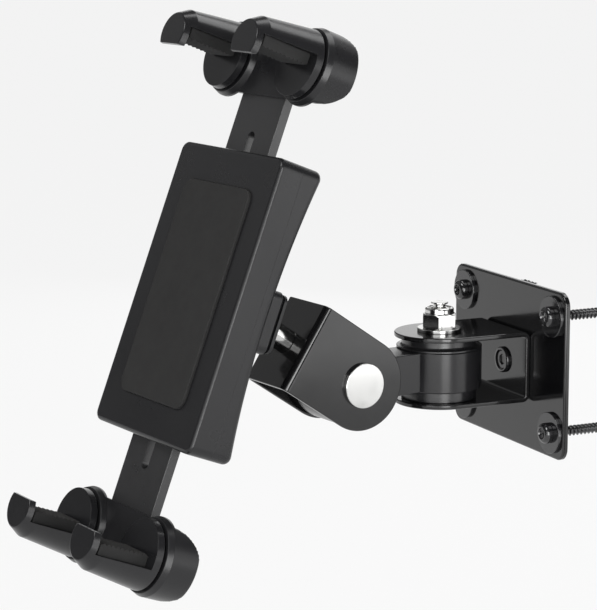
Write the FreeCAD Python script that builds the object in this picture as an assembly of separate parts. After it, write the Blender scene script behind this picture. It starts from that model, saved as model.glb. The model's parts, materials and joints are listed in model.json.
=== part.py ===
import FreeCAD, Part
import math
import os

from FreeCAD import Matrix, Placement, Rotation, Vector

# Folding mount with a wall plate, a swivel arm, a ball joint and a clamping holder.
#
# Frame: the origin is the centre of the wall plate's back face, which lies in the plane
# Y = 0. The mount stands off the plate towards -Y, +Z is up, and +X is to the right seen
# from the holder's side. The model is drawn in the pose of the angles below.

# Driving dimensions, in millimetres and degrees.

# Pose at rest
swing_angle = 8.0               # arm to the right of square with the plate
tilt_angle = 34.0               # tilt bracket above the horizontal
nod_angle = 12.5                # holder below the line of its stud

# Wall plate and its screws
plate_width = 118.0
plate_height = 89.0
plate_thickness = 3.0
plate_corner = 7.0
plate_edge = 0.8                # rounding of the front edge
plate_skin = 0.5                # left behind the blind thread of the bracket's screw
screw_spacing_x = 93.0
screw_spacing_z = 62.0
wall_screw_radius = 2.9         # over the thread
wall_screw_neck = 2.5           # plain part in the washer and the plate
wall_screw_length = 48.0        # under the head
wall_head_radius = 5.5
wall_head_height = 4.2
wall_washer_radius = 11.0
wall_washer_thickness = 1.8

# The two folded brackets, the same part used twice
bracket_width = 48.0
bracket_height = 38.0
bracket_reach = 42.0            # outer face of the web to the pivot
bracket_sheet = 2.5
bracket_bend = 1.2              # inner radius of the folds
bracket_edge = 0.5              # rounding of the cut edges

# Pivots, the same hardware used twice
pin_radius = 5.0
pin_head_radius = 11.7
pin_head_height = 2.2
pin_tip_radius = 4.6
pin_tip_height = 2.7            # beyond the nut
washer_radius = 11.7
washer_thickness = 2.0
nut_across_flats = 17.0
nut_height = 11.0
nut_hex_height = 7.6
nut_collar_radius = 7.7
insert_height = 2.6
insert_wall = 1.7
bush_radius = 20.0
bush_lip_height = 1.7
bush_spigot_radius = 8.0
bush_spigot_length = 7.8

# Swivel link
link_length = 62.0              # pivot to pivot
link_thickness = 21.6
barrel_radius = 22.8
barrel_edge = 0.7

# Screws that hold the brackets
bracket_screw_radius = 4.0
bracket_head_radius = 7.0
bracket_head_height = 4.2
bracket_socket = 5.0            # hexagon across flats
socket_depth = 2.4

# Ball joint
ball_radius = 11.0
stud_radius = 6.8
stud_length = 28.0              # bracket to the ball's centre
stud_thread_depth = 12.0
seat_wall = 1.6
front_seat_reach = 65.0         # degrees from the holder's axis
rear_seat_start = 1.0           # behind the ball's centre
rear_seat_end = 5.3
socket_half_width = 16.4
socket_corner = 4.0
socket_chamfer = 2.2
retainer_thickness = 2.0
retainer_opening = 11.7
retainer_screw_offset = 12.2
retainer_screw_radius = 1.5
retainer_screw_length = 9.0

# Holder housing; depths are measured from the holder's own plane, between hooks and housing
ball_depth = 52.0
retainer_depth = 61.0
housing_length = 149.0
housing_rise = 1.7              # its middle above the ball's axis
housing_width = 96.0
housing_corner = 5.0
housing_front = 13.5
housing_seam = 27.0
housing_back_middle = 34.2
housing_back_ends = 40.0
housing_wall = 3.0
inner_corner = 2.5
housing_front_edge = 2.0
housing_back_edge = 4.3
pad_margin_x = 17.0             # sides of the housing to the pad
pad_margin_z = 18.5
pad_corner = 6.0
pad_front = 12.0
pad_recess = 1.0
housing_screw_inset_x = 12.0    # from the housing's sides and ends
housing_screw_inset_z = 12.5
housing_screw_radius = 1.7
housing_screw_head = 3.2
clamp_screw_inset = 16.5        # from the housing's ends
clamp_screw_radius = 3.0
clamp_screw_head = 5.0
clamp_head_height = 3.0
boss_wall = 2.2

# Sliding arms
arm_width = 40.0
arm_thickness = 5.0
arm_front = 21.8
arm_engaged = 42.0              # inside the housing at rest
arm_extend = 15.0               # travel outwards from rest
arm_retract = 26.5              # travel inwards from rest
arm_in_crossbar = 27.0
arm_screw_x = 11.0
arm_screw_radius = 2.5

# Claws
upper_reach = 123.3             # holder's centre to the finger axes, at rest
lower_reach = 125.1
finger_spacing = 68.2
finger_tip = -20.0              # depth of the front face: ahead of the holder's plane
finger_tip_radius = 10.4
finger_shoulder = -14.0
finger_shoulder_radius = 14.0
finger_root = 16.0
finger_root_radius = 17.8
finger_edge = 0.5
spigot_radius = 12.0
spigot_length = 8.0
hook_thickness = 3.0
hook_flat = 5.7                 # finger axis to the flat of the hook
notch_floor = 4.5               # finger axis to the floor of the notch
notch_end = 12.0
collar_gap = 1.0
collar_height = 3.0
collar_radius = 19.9
collar_face_radius = 18.7
crossbar_back = 35.2
crossbar_inner = 17.0           # finger axis to the edge that faces the housing
crossbar_outer = 18.1
crossbar_round_outer = 8.0
crossbar_round_inner = 14.0
grip_half_width = 10.5
grip_thickness = 6.2            # notch floor to the rib tips
grip_gap = 1.6                  # hook to grip
rib_height = 1.0
rib_pitch = 2.6
finger_screw_radius = 2.5
finger_screw_length = 22.0
sunk_head_height = 3.0

# Clearances
running_gap = 0.05              # on the radius of a shaft in its hole
sliding_gap = 0.2
screw_gap = 0.3
seat_gap = 0.03

# Sizes worked out from these
half_stack = bracket_height / 2 - bracket_sheet
half_link = link_thickness / 2
pad_length = housing_length - 2 * pad_margin_z
pad_width = housing_width - 2 * pad_margin_x
housing_screw_x = housing_width / 2 - housing_screw_inset_x
housing_screw_z = housing_length / 2 - housing_screw_inset_z
clamp_screw_z = housing_length / 2 - clamp_screw_inset
bush_inner = half_link + running_gap
nut_bottom = bracket_height / 2 + washer_thickness
nut_radius = nut_across_flats / math.sqrt(3)
crossbar_front = finger_root + collar_gap
crossbar_body = crossbar_front + collar_height
arm_back = arm_front + arm_thickness
front_seat_radius = ball_radius + seat_gap + seat_wall
pocket_radius = front_seat_radius + seat_gap

X_AXIS = Vector(1, 0, 0)
Y_AXIS = Vector(0, 1, 0)
Z_AXIS = Vector(0, 0, 1)


# Plain shapes

def block(x, y, z):
    """A box between the low and high values of each axis."""
    return Part.makeBox(x[1] - x[0], y[1] - y[0], z[1] - z[0], Vector(x[0], y[0], z[0]))


def rod(radius, low, high, axis, at=(0, 0, 0)):
    """A cylinder along an axis through a point, from low to high on that axis."""
    return Part.makeCylinder(radius, high - low, Vector(*at) + axis * low, axis)


def turned(profile, axis):
    """A solid of revolution: (radius, distance along the axis) points, straight runs."""
    across = X_AXIS if axis != X_AXIS else Y_AXIS
    points = [across * r + axis * d for r, d in profile]
    wire = Part.makePolygon(points + points[:1])
    return Part.Face(wire).revolve(Vector(0, 0, 0), axis, 360)


def rounded_slab(width, height, corner, front, back):
    """A plate that faces -Y, with rounded corners."""
    slab = block((-width / 2, width / 2), (front, back), (-height / 2, height / 2))
    return slab.makeFillet(corner, edges_along(slab, Y_AXIS))


def hexagon(across_flats, low, high):
    """A hexagonal bar along Z with a flat that faces +X."""
    radius = across_flats / math.sqrt(3)
    angles = [math.radians(30 + 60 * k) for k in range(7)]
    points = [Vector(radius * math.cos(a), radius * math.sin(a), low) for a in angles]
    return Part.Face(Part.makePolygon(points)).extrude(Z_AXIS * (high - low))


def edges_along(shape, axis):
    """The straight edges that run along an axis."""
    found = []
    for edge in shape.Edges:
        if isinstance(edge.Curve, (Part.Line, Part.LineSegment)):
            if abs(abs(edge.tangentAt(edge.FirstParameter).dot(axis)) - 1) < 1e-6:
                found.append(edge)
    return found


def edges_at(shape, axis, distance):
    """The edges that lie in the plane at a distance along an axis."""
    near = 1e-4
    found = []
    for edge in shape.Edges:
        ends = [v.Point.dot(axis) for v in edge.Vertexes]
        middle = edge.valueAt((edge.FirstParameter + edge.LastParameter) / 2).dot(axis)
        if all(abs(d - distance) < near for d in ends + [middle]):
            found.append(edge)
    return found


def moved(shape, x=0, y=0, z=0):
    copy = shape.copy()
    copy.translate(Vector(x, y, z))
    return copy


def turned_about(shape, axis, degrees):
    copy = shape.copy()
    copy.rotate(Vector(0, 0, 0), axis, degrees)
    return copy


# Frames of the moving pieces

arm_frame = Placement(Vector(0, -plate_thickness - bracket_reach, 0), Rotation(Z_AXIS, swing_angle))
tilt_frame = arm_frame * Placement(Vector(0, -link_length, 0), Rotation(X_AXIS, -tilt_angle))
ball_offset = bracket_reach + stud_length
holder_frame = (tilt_frame * Placement(Vector(0, -ball_offset, 0), Rotation(X_AXIS, nod_angle))
                * Placement(Vector(0, -ball_depth, 0), Rotation()))
# A pivot is drawn with its axis along Z, its head below and its web towards +Y. At the tilt
# joint it lies with its head on the right and its web towards the holder.
lying = Placement(Matrix(0, 0, -1, 0, 0, -1, 0, 0, -1, 0, 0, 0, 0, 0, 0, 1))
swing_pivot = Placement(Vector(0, -plate_thickness - bracket_reach, 0), Rotation())
tilt_pivot = tilt_frame * lying


def placed(shape, frame):
    copy = shape.copy()
    copy.Placement = frame * copy.Placement
    return copy


# Wall plate and its screws

def screw_places():
    return [(sx * screw_spacing_x / 2, sz * screw_spacing_z / 2) for sx in (-1, 1) for sz in (-1, 1)]


def wall_plate():
    plate = rounded_slab(plate_width, plate_height, plate_corner, -plate_thickness, 0)
    plate = plate.makeFillet(plate_edge, edges_at(plate, Y_AXIS, -plate_thickness))
    for x, z in screw_places():
        plate = plate.cut(rod(wall_screw_radius + screw_gap, -plate_thickness - 1, 1, Y_AXIS, (x, 0, z)))
    return plate.cut(rod(bracket_screw_radius + running_gap, -plate_thickness - 1, -plate_skin, Y_AXIS))


def wall_washers():
    washer = rod(wall_washer_radius, -wall_washer_thickness, 0, Y_AXIS)
    washer = washer.cut(rod(wall_screw_radius + screw_gap, -wall_washer_thickness - 1, 1, Y_AXIS))
    washer = washer.makeChamfer(0.3, edges_at(washer, Y_AXIS, -wall_washer_thickness)[:1])
    return Part.Compound([moved(washer, x, -plate_thickness, z) for x, z in screw_places()])


def cross_recess(size, depth):
    """A tapered cross that is cut into a head's face, which lies at the origin facing -Y."""
    width = size * 0.24
    arm = Part.makeWedge(-size, 0, -width, -width / 2, -size / 2, size, depth, width, width / 2, size / 2)
    return arm.fuse(turned_about(arm, Y_AXIS, 90))


def domed_head(radius, height):
    """A screw head that faces -Y, its flat underside at the origin and its face domed."""
    crown = height * 0.45
    ball = (radius ** 2 + crown ** 2) / (2 * crown)
    head = rod(radius, -height, 0, Y_AXIS)
    return head.common(Part.makeSphere(ball, Vector(0, -height + ball, 0)))


def wall_screws():
    point = wall_screw_radius * 2.2
    neck = plate_thickness + wall_washer_thickness + 0.5
    shank = turned([(0, 0), (wall_screw_neck, 0), (wall_screw_neck, neck), (wall_screw_radius, neck + 0.5),
                    (wall_screw_radius, wall_screw_length - point), (0, wall_screw_length)], Y_AXIS)
    head = domed_head(wall_head_radius, wall_head_height)
    head = head.cut(moved(cross_recess(wall_head_radius * 0.55, 2.4), y=-wall_head_height))
    screw = head.fuse(shank).removeSplitter()
    front = -plate_thickness - wall_washer_thickness
    return Part.Compound([moved(screw, x, front, z) for x, z in screw_places()])


# Folded bracket, drawn about its pivot

def folded_bracket():
    half = bracket_height / 2
    outer = bracket_bend + bracket_sheet
    skin = block((-bracket_width / 2, bracket_width / 2), (-bracket_width / 2, bracket_reach), (-half, half))
    skin = skin.makeFillet(outer, [e for e in edges_along(skin, X_AXIS) if e.Vertexes[0].Y > bracket_reach - 1e-4])
    inside = block((-bracket_width, bracket_width), (-bracket_width, bracket_reach - bracket_sheet),
                   (-half + bracket_sheet, half - bracket_sheet))
    inside = inside.makeFillet(bracket_bend, [e for e in edges_along(inside, X_AXIS)
                                              if abs(e.Vertexes[0].Y - bracket_reach + bracket_sheet) < 1e-4])
    plan = rod(bracket_width / 2, -half, half, Z_AXIS).fuse(
        block((-bracket_width / 2, bracket_width / 2), (0, bracket_reach), (-half, half))).removeSplitter()
    bracket = skin.cut(inside).common(plan)
    rims = edges_at(bracket, Z_AXIS, half) + edges_at(bracket, Z_AXIS, -half)
    bracket = bracket.makeFillet(bracket_edge, [e for e in rims if min(v.Y for v in e.Vertexes) < 1e-3
                                                or abs(e.Vertexes[0].X - e.Vertexes[1].X) < 1e-4])
    bracket = bracket.cut(rod(pin_radius + running_gap, -half - 1, half + 1, Z_AXIS))
    return bracket.cut(rod(bracket_screw_radius + running_gap, 0, bracket_reach + 1, Y_AXIS))


def bracket_screw(shank_length):
    """Button-head screw that is put in from inside the bracket and points to +Y."""
    head = domed_head(bracket_head_radius, bracket_head_height)
    socket = turned_about(hexagon(bracket_socket, -socket_depth, 1), X_AXIS, 90)
    head = head.cut(moved(socket, y=-bracket_head_height))
    screw = head.fuse(rod(bracket_screw_radius, 0, shank_length, Y_AXIS)).removeSplitter()
    return moved(screw, y=bracket_reach - bracket_sheet)


# Pivot hardware, drawn about the pivot's axis

def pivot_pin():
    half = bracket_height / 2
    nut_top = nut_bottom + nut_height
    tip = nut_top + pin_tip_height
    groove = pin_tip_radius * 0.72
    head = -half - pin_head_height
    return turned([(0, head), (pin_head_radius - 0.5, head), (pin_head_radius, head + 0.5),
                   (pin_head_radius, -half), (pin_radius, -half), (pin_radius, nut_top - 0.4),
                   (groove, nut_top + 0.3), (groove, tip - 1.2), (pin_tip_radius, tip - 0.8),
                   (pin_tip_radius, tip - 0.3), (pin_tip_radius - 0.4, tip), (0, tip)], Z_AXIS)


def bush(lip_radius):
    """Friction bush with a spigot in the link's bore; the lip is next to the link."""
    lip_top = bush_inner + bush_lip_height
    flare = (lip_radius - bush_radius) / 2
    profile = [(pin_radius + running_gap, bush_inner - bush_spigot_length),
               (bush_spigot_radius, bush_inner - bush_spigot_length), (bush_spigot_radius, bush_inner),
               (lip_radius - 0.4, bush_inner), (lip_radius, bush_inner + 0.4)]
    if flare > 0.4:
        profile += [(lip_radius, lip_top - 0.4), (lip_radius - 0.4, lip_top), (bush_radius + flare, lip_top + 0.2),
                    (bush_radius + flare / 3, lip_top + 0.8), (bush_radius, lip_top + 1.8)]
    profile += [(bush_radius, half_stack), (pin_radius + running_gap, half_stack)]
    return turned(profile, Z_AXIS)


def pivot_washer():
    low = bracket_height / 2
    return turned([(pin_radius + running_gap, low), (washer_radius, low), (washer_radius, low + washer_thickness - 0.4),
                   (washer_radius - 0.4, low + washer_thickness), (pin_radius + running_gap, low + washer_thickness)],
                  Z_AXIS)


def lock_nut():
    """Hexagon nut with a round collar that grips a plastic ring."""
    slope = math.tan(math.radians(30))
    hex_top = nut_bottom + nut_hex_height
    flat = nut_across_flats / 2
    drop = (nut_radius - flat) * slope
    cone = turned([(0, nut_bottom), (nut_radius, nut_bottom), (nut_radius, hex_top - drop), (flat, hex_top),
                   (0, hex_top)], Z_AXIS)
    body = hexagon(nut_across_flats, nut_bottom, hex_top).common(cone)
    top = nut_bottom + nut_height
    collar = turned([(0, hex_top - 1), (nut_collar_radius, hex_top - 1), (nut_collar_radius, top - 1.6),
                     (nut_collar_radius - 0.5, top - 0.6), (nut_collar_radius - 1.5, top), (0, top)], Z_AXIS)
    nut = body.fuse(collar).removeSplitter()
    ring = insert_outer() + running_gap
    nut = nut.cut(rod(ring, top - 0.6 - insert_height - sliding_gap, top - 0.6, Z_AXIS))
    return nut.cut(rod(pin_radius + running_gap, nut_bottom - 1, top + 1, Z_AXIS))


def insert_outer():
    return min(pin_radius + insert_wall, nut_collar_radius - 0.8)


def nut_insert():
    top = nut_bottom + nut_height - 0.7
    ring = rod(insert_outer(), top - insert_height, top, Z_AXIS)
    return ring.cut(rod(pin_radius + running_gap, top - insert_height - 1, top + 1, Z_AXIS))


# Swivel link: an upright barrel and a lying barrel on one bar

def swivel_link():
    def barrel(axis):
        body = rod(barrel_radius, -half_link, half_link, axis)
        return body.makeChamfer(barrel_edge, edges_at(body, axis, half_link) + edges_at(body, axis, -half_link))
    far = (0, -link_length, 0)
    bar = block((-half_link, half_link), (-link_length, 0), (-half_link, half_link))
    bar = bar.makeChamfer(barrel_edge, edges_along(bar, Y_AXIS))
    link = bar.fuse([barrel(Z_AXIS), moved(barrel(X_AXIS), *far)]).removeSplitter()
    bore = bush_spigot_radius + running_gap
    link = link.cut(rod(bore, -half_link - 1, half_link + 1, Z_AXIS))
    return link.cut(rod(bore, -half_link - 1, half_link + 1, X_AXIS, far))


# Ball joint, drawn in the tilt bracket's frame or about the ball

def ball_stud():
    neck = rod(stud_radius, bracket_reach, ball_offset, -Y_AXIS)
    neck = neck.makeChamfer(0.4, edges_at(neck, Y_AXIS, -bracket_reach))
    stud = neck.fuse(Part.makeSphere(ball_radius, Vector(0, -ball_offset, 0))).removeSplitter()
    thread = rod(bracket_screw_radius + running_gap, bracket_reach - 1, bracket_reach + stud_thread_depth, -Y_AXIS)
    return stud.cut(thread)


def front_seat():
    """Cup between the front of the ball and the housing."""
    shell = Part.makeSphere(front_seat_radius).cut(Part.makeSphere(ball_radius + seat_gap))
    edge = front_seat_radius * math.cos(math.radians(front_seat_reach))
    size = 2 * front_seat_radius
    return shell.common(block((-size, size), (-size, -edge), (-size, size)))


def rear_seat():
    """Ring behind the ball, held in by the retainer; its mouth is open for the stud."""
    outer = front_seat_radius + seat_gap / 2
    inner = ball_radius + seat_gap
    mouth = math.sqrt(inner ** 2 - rear_seat_end ** 2)
    end = retainer_depth - ball_depth - running_gap
    ring = rod(outer, rear_seat_start, end, Y_AXIS).cut(Part.makeSphere(inner))
    ring = ring.cut(rod(mouth, 0, end + 1, Y_AXIS))
    return ring.cut(turned([(0, rear_seat_end), (mouth, rear_seat_end), (retainer_opening, end),
                            (retainer_opening, end + 1), (0, end + 1)], Y_AXIS))


def ball_pocket():
    """The space for both seats, about the ball."""
    end = retainer_depth - ball_depth
    return Part.makeSphere(pocket_radius).fuse(rod(pocket_radius, 0, end + 1, Y_AXIS))


def retainer_places():
    offset = retainer_screw_offset
    return [(sx * offset, sz * offset) for sx in (-1, 1) for sz in (-1, 1)]


def ball_retainer():
    back = retainer_depth + retainer_thickness
    size = 2 * (socket_half_width - socket_chamfer * 0.4)
    plate = rounded_slab(size, size, socket_corner, retainer_depth, back)
    plate = plate.makeChamfer(0.5, edges_at(plate, Y_AXIS, back))
    plate = plate.cut(rod(retainer_opening, retainer_depth - 1, back + 1, Y_AXIS))
    for x, z in retainer_places():
        plate = plate.cut(rod(retainer_screw_radius + running_gap, retainer_depth - 1, back + 1, Y_AXIS, (x, 0, z)))
        plate = plate.cut(moved(sunk_cone(retainer_screw_radius + running_gap, 1.2), x, back, z))
    return plate


def sunk_cone(radius, height):
    """The flare of a countersunk head that faces +Y, its face at the origin."""
    return turned([(0, -height), (radius, -height), (radius + height, 0), (radius + height, 0.01), (0, 0.01)], Y_AXIS)


def sunk_screw(radius, length, height):
    """Countersunk screw that faces +Y, its face at the origin."""
    head = turned([(0, -length), (radius, -length), (radius, -height), (radius + height - 0.05, -0.05),
                   (0, -0.05)], Y_AXIS)
    socket = turned_about(hexagon(radius * 1.2, -1, height * 0.7), X_AXIS, 90)
    return head.cut(socket)


def retainer_screws():
    screw = sunk_screw(retainer_screw_radius, retainer_screw_length, 1.2)
    back = retainer_depth + retainer_thickness
    return Part.Compound([moved(screw, x, back, z) for x, z in retainer_places()])


# Holder housing, drawn from the holder's own plane

def back_profile(length, width, inset, front):
    """A block whose back is bowed inwards along its length; inset thins it from behind."""
    half = length / 2
    middle = housing_back_middle - inset
    sag = housing_back_ends - housing_back_middle
    ends = middle + sag * (length / housing_length) ** 2
    x = -width / 2
    corners = [Vector(x, ends, half), Vector(x, front, half), Vector(x, front, -half), Vector(x, ends, -half)]
    edges = [Part.LineSegment(a, b).toShape() for a, b in zip(corners, corners[1:])]
    edges.append(Part.Arc(corners[3], Vector(x, middle, 0), corners[0]).toShape())
    return Part.Face(Part.Wire(edges)).extrude(X_AXIS * width)


def housing_screw_places():
    return [(sx * housing_screw_x, housing_rise + sz * housing_screw_z) for sx in (-1, 1) for sz in (-1, 1)]


def clamp_screw_places():
    return [(0, sz * clamp_screw_z) for sz in (-1, 1)]


def housing_back_at(z):
    """Depth of the housing's back at a height above the ball's axis."""
    sag = housing_back_ends - housing_back_middle
    radius = ((housing_length / 2) ** 2 + sag ** 2) / (2 * sag)
    return housing_back_middle + radius - math.sqrt(radius ** 2 - (z - housing_rise) ** 2)


def rear_shell():
    deep = housing_back_ends + 1
    plan = rounded_slab(housing_width, housing_length, housing_corner, housing_seam, deep)
    outer = back_profile(housing_length, housing_width, 0, housing_seam).common(plan)
    rims = [e for e in outer.Edges if e.BoundBox.YMin > housing_back_middle - 1]
    outer = moved(outer.makeFillet(housing_back_edge, rims), z=housing_rise)
    shrink = 2 * housing_wall
    inner_plan = rounded_slab(housing_width - shrink, housing_length - shrink, inner_corner,
                              housing_seam - 1, deep)
    inner = back_profile(housing_length - shrink, housing_width - shrink, housing_wall, housing_seam - 1)
    shell = outer.cut(moved(inner.common(inner_plan), z=housing_rise))
    socket = rounded_slab(2 * socket_half_width, 2 * socket_half_width, socket_corner,
                          housing_back_middle - housing_wall, retainer_depth)
    socket = socket.makeChamfer(socket_chamfer, edges_at(socket, Y_AXIS, retainer_depth))
    pieces = [socket]
    inside = outer.common(block((-housing_width, housing_width), (housing_seam, deep),
                                (-housing_length, housing_length)))
    for x, z in clamp_screw_places():
        pieces.append(rod(clamp_screw_radius + screw_gap + boss_wall, housing_seam, deep, Y_AXIS,
                          (x, 0, z)).common(inside))
    for x, z in housing_screw_places():
        pieces.append(rod(housing_screw_head + boss_wall / 2, housing_seam, deep, Y_AXIS, (x, 0, z)).common(inside))
    rib_end = housing_length / 2 - housing_wall / 2
    for x in (-arm_width / 2 + 3, arm_width / 2 - 3):
        rib = block((x - 1, x + 1), (housing_seam, deep), (housing_rise - rib_end, housing_rise + rib_end))
        pieces.append(rib.common(inside))
    shell = shell.fuse(pieces).removeSplitter()
    shell = shell.cut(moved(ball_pocket(), y=ball_depth))
    for x, z in clamp_screw_places():
        shell = shell.cut(screw_hole(x, z, clamp_screw_radius, clamp_screw_head, clamp_head_height))
    for x, z in housing_screw_places():
        shell = shell.cut(screw_hole(x, z, housing_screw_radius, housing_screw_head, clamp_head_height))
    for x, z in retainer_places():
        depth = retainer_screw_length - retainer_thickness + sliding_gap
        shell = shell.cut(rod(retainer_screw_radius + running_gap, retainer_depth - depth, retainer_depth + 1,
                              Y_AXIS, (x, 0, z)))
    return shell


def screw_hole(x, z, radius, head_radius, head_height):
    """A counterbored hole that is put in from behind the housing."""
    back = housing_back_at(z)
    hole = rod(radius + screw_gap, housing_seam - 1, back + 2, Y_AXIS, (x, 0, z))
    return hole.fuse(rod(head_radius + screw_gap, back - head_height, back + 2, Y_AXIS, (x, 0, z)))


def front_shell():
    outer = rounded_slab(housing_width, housing_length, housing_corner, housing_front, housing_seam)
    outer = moved(outer.makeFillet(housing_front_edge, edges_at(outer, Y_AXIS, housing_front)), z=housing_rise)
    shrink = 2 * housing_wall
    inner = rounded_slab(housing_width - shrink, housing_length - shrink, inner_corner,
                         housing_front + housing_wall, housing_seam + 1)
    shell = outer.cut(moved(inner, z=housing_rise))
    pieces = []
    floor = housing_front + housing_wall / 2
    for x, z in clamp_screw_places():
        pieces.append(rod(clamp_screw_radius + boss_wall, floor, arm_front - sliding_gap, Y_AXIS, (x, 0, z)))
    for x, z in housing_screw_places():
        pieces.append(rod(housing_screw_radius + boss_wall, floor, housing_seam, Y_AXIS, (x, 0, z)))
    rib_end = housing_length / 2 - housing_wall / 2
    rib_x = arm_width / 2 + sliding_gap
    for side in (-1, 1):
        pieces.append(block(sorted((side * rib_x, side * (rib_x + 2))), (floor, housing_seam),
                            (housing_rise - rib_end, housing_rise + rib_end)))
    shell = shell.fuse(pieces).removeSplitter()
    window = arm_width / 2 + sliding_gap
    shell = shell.cut(block((-window, window), (arm_front - sliding_gap, housing_seam + 1),
                            (-housing_length, housing_length)))
    recess = rounded_slab(pad_width + 2 * sliding_gap, pad_length + 2 * sliding_gap, pad_corner,
                          housing_front - 1, housing_front + pad_recess)
    shell = shell.cut(moved(recess, z=housing_rise))
    for x, z in clamp_screw_places():
        shell = shell.cut(rod(clamp_screw_radius + running_gap, floor + 1, housing_seam, Y_AXIS, (x, 0, z)))
    for x, z in housing_screw_places():
        shell = shell.cut(rod(housing_screw_radius + running_gap, floor + 1, housing_seam + 1, Y_AXIS, (x, 0, z)))
    return shell


def front_pad():
    pad = rounded_slab(pad_width, pad_length, pad_corner, pad_front, housing_front + pad_recess)
    return moved(pad.makeFillet(0.6, edges_at(pad, Y_AXIS, pad_front)), z=housing_rise)


def housing_screw(z, radius, head_radius, socket):
    """Screw from behind: the head sits in its counterbore, the tip in the front shell."""
    face = housing_back_at(z) - 0.4
    tip = housing_front + housing_wall / 2 + 1.3
    screw = turned([(0, tip), (radius, tip), (radius, face - clamp_head_height + 0.4),
                    (head_radius, face - clamp_head_height + 0.4), (head_radius, face - 0.5),
                    (head_radius - 0.5, face), (0, face)], Y_AXIS)
    return screw.cut(moved(turned_about(hexagon(socket, -1, 1.8), X_AXIS, 90), y=face))


def housing_screws():
    return Part.Compound([moved(housing_screw(z, housing_screw_radius, housing_screw_head, 2.5), x, 0, z)
                          for x, z in housing_screw_places()])


def arm_clamp_screws():
    return Part.Compound([moved(housing_screw(z, clamp_screw_radius, clamp_screw_head, 4.0), x, 0, z)
                          for x, z in clamp_screw_places()])


# Claws, drawn as the upper one; the lower one is the same, turned over

def claw_arm(reach):
    """Flat bar with a slot for the clamp screw; z is measured from the holder's centre."""
    inner = housing_length / 2 - arm_engaged
    outer = reach - crossbar_inner + arm_in_crossbar
    bar = block((-arm_width / 2, arm_width / 2), (arm_front, arm_back), (inner, outer))
    bar = bar.makeFillet(3.0, edges_along(bar, Y_AXIS))
    half = clamp_screw_radius + screw_gap
    low = clamp_screw_z - arm_extend
    high = clamp_screw_z + arm_retract
    slot = block((-half, half), (arm_front - 1, arm_back + 1), (low, high))
    for z in (low, high):
        slot = slot.fuse(rod(half, arm_front - 1, arm_back + 1, Y_AXIS, (0, 0, z)))
    bar = bar.cut(slot)
    for x in (-arm_screw_x, arm_screw_x):
        bar = bar.cut(rod(arm_screw_radius + running_gap, arm_front - 1, arm_back + 1, Y_AXIS, (x, 0, reach)))
    return bar


def finger_places():
    return (-finger_spacing / 2, finger_spacing / 2)


def crossbar(reach):
    """Moulded bar with a rounded back and a collar round the root of each finger."""
    half = finger_spacing / 2 + collar_radius
    plan = block((-half, half), (crossbar_body, crossbar_back), (-crossbar_inner, 0))
    plan = plan.fuse(block((-finger_spacing / 2, finger_spacing / 2), (crossbar_body, crossbar_back),
                           (-1, crossbar_outer)))
    for x in finger_places():
        plan = plan.fuse(rod(collar_radius, crossbar_body, crossbar_back, Y_AXIS, (x, 0, 0)))
    side = block((-half, half), (crossbar_body, crossbar_back), (-crossbar_inner, collar_radius))
    along = [e for e in edges_along(side, X_AXIS) if abs(e.Vertexes[0].Y - crossbar_back) < 1e-4]
    side = side.makeFillet(crossbar_round_outer, [e for e in along if e.Vertexes[0].Z > 0])
    along = [e for e in edges_along(side, X_AXIS) if abs(e.Vertexes[0].Y - crossbar_back) < 1e-4]
    side = side.makeFillet(crossbar_round_inner, [e for e in along if e.Vertexes[0].Z < 0])
    body = plan.removeSplitter().common(side)
    for x in finger_places():
        collar = turned([(0, crossbar_front), (collar_face_radius, crossbar_front), (collar_radius, crossbar_body),
                         (collar_radius, crossbar_body + 1), (0, crossbar_body + 1)], Y_AXIS)
        body = body.fuse(moved(collar, x))
    body = body.removeSplitter()
    for x in finger_places():
        body = body.cut(rod(spigot_radius + running_gap, crossbar_front - 1, finger_root + spigot_length + sliding_gap,
                            Y_AXIS, (x, 0, 0)))
        body = body.cut(rod(finger_screw_radius + running_gap, crossbar_front, crossbar_back + 1, Y_AXIS, (x, 0, 0)))
        body = body.cut(moved(sunk_cone(finger_screw_radius + running_gap, sunk_head_height), x, crossbar_back))
    gap = sliding_gap / 2
    half_arm = arm_width / 2 + gap
    body = body.cut(block((-half_arm, half_arm), (arm_front - gap, arm_back + gap),
                          (-crossbar_inner - 1, arm_in_crossbar - crossbar_inner + gap)))
    for x in (-arm_screw_x, arm_screw_x):
        body = body.cut(rod(arm_screw_radius + running_gap, crossbar_body + 1, crossbar_back + 1, Y_AXIS, (x, 0, 0)))
        body = body.cut(moved(sunk_cone(arm_screw_radius + running_gap, sunk_head_height), x, crossbar_back))
    return moved(body, z=reach)


def finger(x, reach):
    """Tapered round finger with a hook at its tip and a deep notch behind it."""
    body = turned([(0, finger_tip), (finger_tip_radius - finger_edge, finger_tip),
                   (finger_tip_radius, finger_tip + finger_edge), (finger_shoulder_radius, finger_shoulder),
                   (finger_root_radius, finger_root - finger_edge), (finger_root_radius - finger_edge, finger_root),
                   (spigot_radius, finger_root), (spigot_radius, finger_root + spigot_length),
                   (0, finger_root + spigot_length)], Y_AXIS)
    size = 2 * finger_root_radius
    hook_back = finger_tip + hook_thickness
    body = body.cut(block((-size, size), (finger_tip - 1, hook_back + 1), (-size, -hook_flat)))
    body = body.cut(block((-size, size), (hook_back, notch_end), (-size, notch_floor)))
    depth = finger_screw_length - (crossbar_back - finger_root - spigot_length) + sliding_gap
    end = finger_root + spigot_length
    body = body.cut(rod(finger_screw_radius + running_gap, end - depth, end + 1, Y_AXIS))
    return moved(body, x, 0, reach)


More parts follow.
